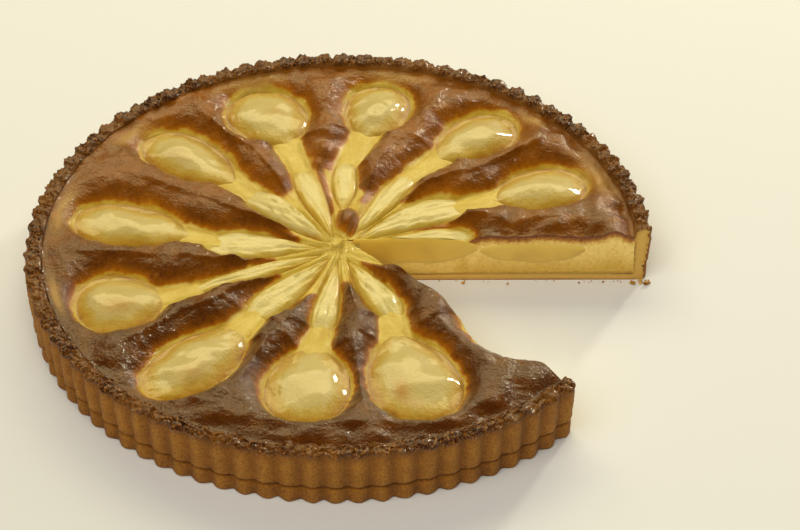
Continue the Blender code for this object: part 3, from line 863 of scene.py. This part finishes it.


# Poached pear: pale straw flesh, a little see-through, with a wet clear glaze. It is painted
# darker and more olive at the sunken edge, painted shade, and lighter on the dome, a painted
# highlight, with amber stains where it caught and tiny grit cells as dark specks. Long
# fibres run with the fruit.
flesh, tree, shader, place = new_material("poached_pear")
inside = marked(tree, "depth")
dome = marked(tree, "dome")
stain = marked(tree, "stain")
forward = marked(tree, "along_pear")
side = marked(tree, "across_pear")
fibres = threads_along(tree, forward, side, (0.06, 0.55))
cloud = noise(tree, place, 120, 3, 0.55)
# Painted light and shade: the tone is darker near the outline and lighter up the dome.
depth_share = maths(tree, "MULTIPLY", inside, 0.1)
cloudy = maths(tree, "MULTIPLY_ADD", cloud, 0.8, -0.44)
fibrous = maths(tree, "MULTIPLY_ADD", fibres, 0.6, -0.3)
tone_with_painted_light = maths(tree, "ADD", depth_share, cloudy)
tone_with_painted_light = maths(tree, "ADD", tone_with_painted_light, fibrous)
tone_with_painted_light = maths(tree, "MULTIPLY_ADD", dome, 0.28, tone_with_painted_light)
pear_colour = colours(tree, tone_with_painted_light, [
    (0.0, "#9c6c16"), (0.15, "#b08424"), (0.38, "#b9932e"), (0.7, "#c0a44a"), (1.0, "#c8b470")])
stained = mixed(tree, stain, pear_colour, paint("#b9812a"))
grit = add_node(tree, "ShaderNodeTexVoronoi", {"Scale": 260, "Vector": place})
grit_dots = colours(tree, grit.outputs["Distance"], [
    (0.0, "#5a4420"), (0.055, "#8d7442"), (0.085, "#ffffff"), (1.0, "#ffffff")])
rare = maths(tree, "GREATER_THAN", grit.outputs["Color"], 0.86)
gritty = mixed(tree, rare, stained, grit_dots, "MULTIPLY")
tree.links.new(gritty, shader.inputs["Base Color"])
shader.inputs["Roughness"].default_value = 0.5
shader.inputs["Coat Weight"].default_value = 0.8
shader.inputs["Coat Roughness"].default_value = 0.05
shader.inputs["Coat IOR"].default_value = 1.42
shader.inputs["Subsurface Weight"].default_value = 0.25
shader.inputs["Subsurface Radius"].default_value = (1.0, 0.75, 0.3)
shader.inputs["Subsurface Scale"].default_value = 0.004
grainy = noise(tree, place, 750, 3, 0.6)
grains = relief(tree, grainy, 0.7, 0.0005)
soft = relief(tree, cloud, 0.4, 0.001, grains)
threads = relief(tree, fibres, 0.2, 0.0004, soft)
tree.links.new(threads, shader.inputs["Normal"])
film = relief(tree, cloud, 0.16, 0.0006)
film_grain = relief(tree, grainy, 0.15, 0.0004, film)
tree.links.new(film_grain, shader.inputs["Coat Normal"])

# Amber stains on the halves: how far along the pear, how far to its left, the spread
# along and across in mm, and the strength.
STAINS = {
    "pear_half_1": [(26, -4, 5, 4, 0.35)],
    "pear_half_3": [(34, 2, 4, 3, 0.3)],
    "pear_half_5": [(43, -8, 6, 3.2, 0.75), (52, -4, 4, 3, 0.3)],
    "pear_half_7": [(42, 7, 7, 5, 0.4)],
    "pear_half_8": [(24, 6, 8, 5, 0.5)],
    "pear_half_10": [(36, 4, 6, 4, 0.35)],
}


def pear_stain(name, marks):
    """Sum of soft round stains: strength times exp(-(a² + b²)) in each stain's spreads."""
    total = np.zeros(marks["depth"].shape)
    for forward, left, long, wide, strength in STAINS.get(name, []):
        total += strength * np.exp(-((marks["along_pear"] - forward) / long) ** 2
                                   - ((marks["across_pear"] - left) / wide) ** 2)
    return np.clip(total, 0, 1)


for name, pear in HALVES.items():
    points, quads, marks = lay_pear(pear, HALF_ROWS, HALF_POINTS, PEAR_SHELF, half_dome)
    marks["stain"] = pear_stain(name, marks)
    marks["depth"] = marks["depth"] + 2.5 * (1 - step_between(6, 18, marks["along_pear"]))
    half = new_piece(name + "_flesh", points.reshape(-1, 3), quads, [flesh], marks=marks)
    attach(half, "root")
    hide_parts(name)

# The pear slices: thin lengths of the same poached pear, fanned with their points to
# the middle. They are flatter, and their fibres catch the light.
SLICE_ROWS = 64
SLICE_POINTS = 48
SLICE_SHELF = 22.2
SLICE_SPREAD = 0.5
SLICE_BLUNTER = 0.78
SLICE_LONGER = 2.5
# Thin slices look more olive, and thick ones paler.
SLICE_PALENESS = {"pear_slice_1": -0.8, "pear_slice_2": -1.0, "pear_slice_4": 1.5,
                  "pear_slice_6": -0.6, "pear_slice_7": 1.2, "pear_slice_8": -0.3,
                  "pear_slice_10": 0.8, "pear_slice_11": 3.0}

# Slice flesh: the same poached pear, cut thin. It is a little brighter than the halves,
# and its glaze lies rougher over the fibres, which breaks up its sheen.
slice_flesh = flesh.copy()
slice_flesh.name = "poached_pear_slice"
slice_nodes = slice_flesh.node_tree.nodes
slice_ramp = slice_nodes[pear_colour.node.name].color_ramp
for stop, colour in zip(slice_ramp.elements, ("#a8741c", "#b88e2a", "#c3a036", "#cab04e", "#d4c27c")):
    stop.color = paint(colour)
slice_nodes[film.node.name].inputs["Strength"].default_value = 0.55
slice_nodes[film_grain.node.name].inputs["Strength"].default_value = 0.3


def slice_loaf(pear, forward, side, inside, length):
    """0 to 1: (1 - u⁴) ** 0.9 across, with u the share of the half width, less two creases
    and fine ribs that run along, and falling away towards both ends."""
    share = forward / length
    u = side / np.maximum(pear_half_width(pear, share), 0.01)
    ends = step_between(-0.1, 0.35, share) * step_between(0, 0.3, 1 - share)
    seed = pear_seed(pear, 89)
    wander = 0.25 * np.sin(share * 5 + seed)
    creases = (0.30 * np.exp(-((u - 0.35 - wander) / 0.09) ** 2)
               + 0.22 * np.exp(-((u + 0.38 - wander) / 0.08) ** 2))
    ribs = 0.10 * uneven(forward * 0.12, side, 1.8, seed)
    return (np.clip(1 - u ** 4, 0, 1) ** 0.9 * (1 - creases + ribs)) * ends


BEHIND_CUT = 0.6


def behind_cut(points, turn):
    """Moves the points that lie in the missing slice square back, to 0.6 mm behind a cut."""
    left = np.array([-np.sin(turn), np.cos(turn)])
    side = (points[..., :2] - CUT_POINT) @ left
    points[..., :2] += np.maximum(BEHIND_CUT - side, 0)[..., None] * left
    return points


for name, pear in SLICES.items():
    spread = pear._replace(tip_mm=pear.tip_mm - SLICE_LONGER, taper=pear.taper * SLICE_BLUNTER,
                           half_width=pear.half_width + SLICE_SPREAD)
    points, quads, marks = lay_pear(spread, SLICE_ROWS, SLICE_POINTS, SLICE_SHELF, slice_loaf)
    along = marks["along_pear"]
    amber = step_between(-0.2, 1.2, uneven(along, 0 * along, 13, int(name[11:]) + 60))
    marks["stain"] = 0.75 * amber * np.exp(-(marks["depth"] / 0.9) ** 2) * (marks["across_pear"] > 0)
    marks["depth"] = marks["depth"] * 1.5 + 2.2 + SLICE_PALENESS.get(name, 0)
    marks["depth"] += 2.0 * step_between(along.max() - 16, along.max() - 4, along)
    if name == "pear_slice_5":
        points = behind_cut(points, CUT_TURNS[0])
    sliver = new_piece(name + "_flesh", points.reshape(-1, 3), quads, [slice_flesh], marks=marks)
    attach(sliver, "root")
    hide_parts(name)

# The cut fruit: the knife left the edge of one half in the tart, under the browned skin,
# and sliced slice 5 lengthwise. In the upper cut their flesh shows golden and glassy. It is
# painted lighter than the halves' flesh, painted light on the upright cut, which the lamps
# hardly reach, and lighter still towards its top edge.
section, tree, shader, place = new_material("poached_pear_section")
haze = noise(tree, place, 70, 3, 0.5)
depth = marked(tree, "depth")
hazy = maths(tree, "MULTIPLY_ADD", haze, 0.7, depth)
# Painted light: these colours are lighter than the halves' flesh, for light the upright cut hardly
# gets.
section_colour_lightened = colours(tree, hazy, [
    (0.25, "#cda548"), (0.5, "#e2bc50"), (0.8, "#ecc95c"), (1.0, "#f4da80")])
tree.links.new(section_colour_lightened, shader.inputs["Base Color"])
shader.inputs["Roughness"].default_value = 0.35
shader.inputs["Coat Weight"].default_value = 0.3
shader.inputs["Coat Roughness"].default_value = 0.1
shader.inputs["Subsurface Weight"].default_value = 0.3
shader.inputs["Subsurface Radius"].default_value = (1.0, 0.75, 0.3)
shader.inputs["Subsurface Scale"].default_value = 0.004


SECTION_ROWS = 72
SECTION_DOWN = 16
SECTION_THICK = 1.5
CUT_PROUD = 0.15


def cut_face(name, node, start, end, top, low, blunt):
    """A lens of flesh 1.5 mm thick on the upper cut, from start to end in mm along it.

    With t running from -1 to 1 along it, it is (1 - |t| ** p) ** 0.6 of its full height,
    with p = 2.6, or blunt in the half nearer the middle of the tart. It tapers more from
    below than from above. Its corners are drawn back from the cut by 0.25 mm.
    """
    share = np.linspace(-1, 1, SECTION_ROWS)[:, None]
    drawn = (1 - np.abs(share) ** np.where(share < 0, blunt, 2.6)) ** 0.6
    down = np.concatenate([np.linspace(0, 1, SECTION_DOWN), np.linspace(1, 0, SECTION_DOWN)[1:-1]])
    along = start + (end - start) * (share + 1) / 2 + 0 * down
    upper = top + 0.3 * uneven(along, 0 * along, 14, 51) - 0.35 * (1 - drawn) * (top - low)
    height = upper - down * drawn * (top - low + 0.7 * uneven(along, 0 * along, 16, 52))
    back = np.concatenate([np.zeros(SECTION_DOWN), np.full(SECTION_DOWN - 2, SECTION_THICK)])
    back += 0.25 * np.abs(2 * down - 1) ** 8
    direction = np.array([np.cos(CUT_TURNS[0]), np.sin(CUT_TURNS[0])])
    left = np.array([-direction[1], direction[0]])
    flat = CUT_POINT + along[..., None] * direction + (back - CUT_PROUD)[:, None] * left
    points = np.concatenate([flat, height[..., None]], axis=-1)
    marks = {"depth": 0.35 * (1 - down) ** 3 + 0.1 * drawn + 0 * height}
    quads = grid_faces(0, *height.shape, closed=True)
    piece = new_piece(name, points.reshape(-1, 3), quads, [section], marks=marks)
    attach(piece, "root")
    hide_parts(node)


cut_face("pear_slice_5_cut_face", "pear_slice_5", 1.5, 59.0, 24.0, 10.0, 14)
cut_face("pear_half_cut_face", "pear_half_cut", 60.0, 107.0, 20.9, 10.4, 2.4)

# Crumbs: bits of the broken shell and filling that fell beside the two cuts.
CRUMBS = 90
chance = np.random.default_rng(51)
ball = bmesh.new()
bmesh.ops.create_icosphere(ball, subdivisions=1, radius=1)
ball_points = np.array([v.co[:] for v in ball.verts])
ball_faces = np.array([[v.index for v in f.verts] for f in ball.faces])
ball.free()
size = 0.25 + 0.75 * chance.random(CRUMBS) ** 2.5
way = chance.integers(0, 2, CRUMBS)
run = np.where(chance.random(CRUMBS) < 0.45, 128 + 9 * chance.random(CRUMBS),
               14 + 122 * chance.random(CRUMBS))
off = 0.5 + size + 2.2 * chance.random(CRUMBS) ** 2
turns = CUT_TURNS[way]
sign = np.where(way == 0, 1, -1)
crumb_x = CUT_POINT[0] + run * np.cos(turns) + off * sign * np.sin(turns)
crumb_y = CUT_POINT[1] + run * np.sin(turns) - off * sign * np.cos(turns)
rough = 1 + 0.25 * chance.standard_normal((CRUMBS, len(ball_points), 1))
crumb_points = ball_points * rough * size[:, None, None] * [1, 1, 0.75]
crumb_points[..., 2] -= crumb_points[..., 2].min(1, keepdims=True)
crumb_points += np.stack([crumb_x, crumb_y, np.zeros(CRUMBS)], axis=-1)[:, None]
crumb_faces = ball_faces + np.arange(CRUMBS)[:, None, None] * len(ball_points)
fallen = new_piece("fallen_crumbs", crumb_points.reshape(-1, 3), crumb_faces.reshape(-1, 3),
                   [pastry_cut],
                   marks={"edge": np.repeat(chance.random(CRUMBS) * 0.8, len(ball_points))})
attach(fallen, "root")

# The floor: a plain pale cream sweep, so large that its edge never shows.
floor_stuff, _, shader, _ = new_material("cream_paper")
shader.inputs["Base Color"].default_value = paint("#e6e8ee")
shader.inputs["Roughness"].default_value = 0.9
shader.inputs["Specular IOR Level"].default_value = 0.2
floor_mesh = bpy.data.meshes.new("floor")
FLOOR_REACH = 12.0
floor_mesh.from_pydata([(-FLOOR_REACH, -FLOOR_REACH, 0), (FLOOR_REACH, -FLOOR_REACH, 0),
                        (FLOOR_REACH, FLOOR_REACH, 0), (-FLOOR_REACH, FLOOR_REACH, 0)],
                       [], [(0, 1, 2, 3)])
floor_mesh.materials.append(floor_stuff)
floor = bpy.data.objects.new("floor", floor_mesh)
bpy.context.scene.collection.objects.link(floor)

# The light: a wide soft box behind and above, a weak wide one in front, and a narrow
# bright one low at the back right that makes the small sharp glints.


def soft_box(name, place, aim, size, power, colour):
    """A rectangular lamp at place that faces aim."""
    lamp = bpy.data.lights.new(name, "AREA")
    lamp.shape = "RECTANGLE"
    lamp.size, lamp.size_y = size
    lamp.energy = power
    lamp.color = colour
    holder = bpy.data.objects.new(name, lamp)
    direction = np.array(aim, float) - place
    yaw = math.atan2(direction[0], direction[1])
    pitch = math.atan2(-direction[2], math.hypot(direction[0], direction[1]))
    holder.location = place
    holder.rotation_euler = (math.pi / 2 - pitch, 0, -yaw)
    bpy.context.scene.collection.objects.link(holder)
    return holder


soft_box("back_box", (-0.23, 1.84, 1.68), (0, 0, 0), (2.7, 1.35), 39, (1, 0.88, 0.48))
front_box = soft_box("front_box", (-0.5, -1.4, 2.4), (0, 0, 0), (3.0, 2.2), 57, (1, 0.94, 0.78))
front_box.visible_glossy = False
soft_box("glint", (0.82, 1.18, 0.59), (0, 0, 0.02), (0.16, 0.12), 9.0, (1, 0.92, 0.68))
world = bpy.data.worlds.new("studio")
bpy.context.scene.world = world
world.use_nodes = True
world.cycles_visibility.glossy = False
world.node_tree.nodes["Background"].inputs[0].default_value = paint("#fff6e2")
world.node_tree.nodes["Background"].inputs[1].default_value = 0.15
bpy.context.scene.view_settings.view_transform = "Standard"

# The camera stands as the photograph's did, 40 degrees above the table.
lens = bpy.data.cameras.new("camera")
lens.sensor_width = 36
lens.lens = 135
camera = bpy.data.objects.new("camera", lens)
camera.location = (0.0266, -1.0234, 0.8754)
camera.rotation_euler = (math.radians(49.9), 0, 0)
bpy.context.scene.collection.objects.link(camera)
bpy.context.scene.camera = camera
